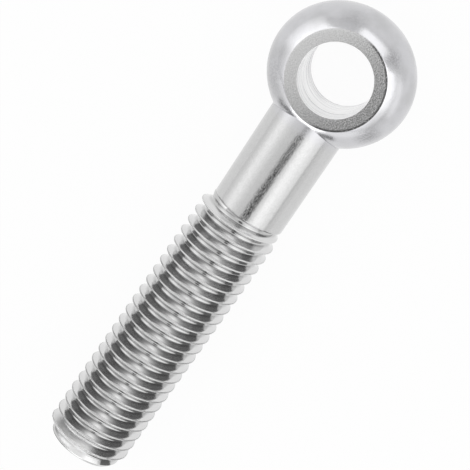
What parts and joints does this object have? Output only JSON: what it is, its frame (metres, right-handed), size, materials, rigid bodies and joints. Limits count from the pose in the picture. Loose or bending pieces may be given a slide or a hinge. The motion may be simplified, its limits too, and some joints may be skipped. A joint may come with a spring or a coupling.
{
  "type": "swing eye bolt",
  "caption": "Swing eye bolt: a rounded eye with two flats and a cross bore on a plain shank and a right-hand threaded stem, hung on a pin and drawn tight with a nut.",
  "frame": {"origin": "centre of the eye, on the axis of the cross bore midway between the two flats", "axes": "+Z along the bore axis, +X along the shank from the eye to the threaded tip; the bolt lies on its thread, with the flat that faces -Z just over the ground"},
  "size_m": [0.0745, 0.02, 0.012],
  "materials": {
    "steel": "bright, turned and plated"
  },
  "bodies": {
    "root": {"eye_bolt": "steel"}
  },
  "joints": []
}
